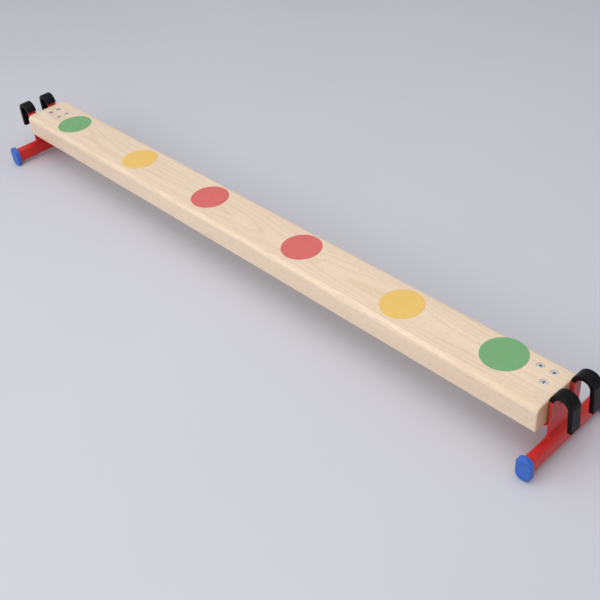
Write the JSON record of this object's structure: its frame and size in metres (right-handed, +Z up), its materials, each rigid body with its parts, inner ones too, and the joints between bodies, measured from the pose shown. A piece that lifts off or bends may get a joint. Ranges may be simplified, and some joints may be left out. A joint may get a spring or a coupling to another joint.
{
  "type": "balance beam",
  "caption": "Low wooden balance beam with coloured step spots, on a steel foot bracket at each end with sleeved hooks to hang it on a rung.",
  "frame": {"origin": "on the floor, under the middle of the beam's length and width", "axes": "+X along the beam, +Y across it to the back, +Z up"},
  "size_m": [1.5922, 0.23, 0.1379],
  "materials": {
    "wood": "light hardwood, sanded and clear-lacquered, satin",
    "spot_green": "thin satin film",
    "spot_yellow": "thin satin film",
    "spot_red": "thin satin film",
    "red_coating": "gloss red powder coat on steel",
    "black_sleeve": "satin soft black",
    "blue_plastic": "satin moulded blue",
    "zinc_steel": "bright zinc plate"
  },
  "bodies": {
    "root": {"plank": "wood", "spot_green_left": "spot_green", "spot_yellow_left": "spot_yellow", "spot_red_left": "spot_red", "spot_red_right": "spot_red", "spot_yellow_right": "spot_yellow", "spot_green_right": "spot_green", "screw_left_1": "zinc_steel", "washer_left_1": "zinc_steel", "nut_left_1": "zinc_steel", "screw_left_2": "zinc_steel", "washer_left_2": "zinc_steel", "nut_left_2": "zinc_steel", "screw_left_3": "zinc_steel", "washer_left_3": "zinc_steel", "nut_left_3": "zinc_steel", "screw_left_4": "zinc_steel", "washer_left_4": "zinc_steel", "nut_left_4": "zinc_steel", "screw_right_1": "zinc_steel", "washer_right_1": "zinc_steel", "nut_right_1": "zinc_steel", "screw_right_2": "zinc_steel", "washer_right_2": "zinc_steel", "nut_right_2": "zinc_steel", "screw_right_3": "zinc_steel", "washer_right_3": "zinc_steel", "nut_right_3": "zinc_steel", "left_foot_tube": "red_coating", "left_hook_plate": "red_coating", "left_mounting_plate": "red_coating", "left_web": "red_coating", "left_end_cap_front": "blue_plastic", "left_hook_sleeve_front": "black_sleeve", "left_end_cap_back": "blue_plastic", "left_hook_sleeve_back": "black_sleeve", "right_foot_tube": "red_coating", "right_hook_plate": "red_coating", "right_mounting_plate": "red_coating", "right_web": "red_coating", "right_end_cap_front": "blue_plastic", "right_hook_sleeve_front": "black_sleeve", "right_end_cap_back": "blue_plastic", "right_hook_sleeve_back": "black_sleeve"}
  },
  "joints": []
}
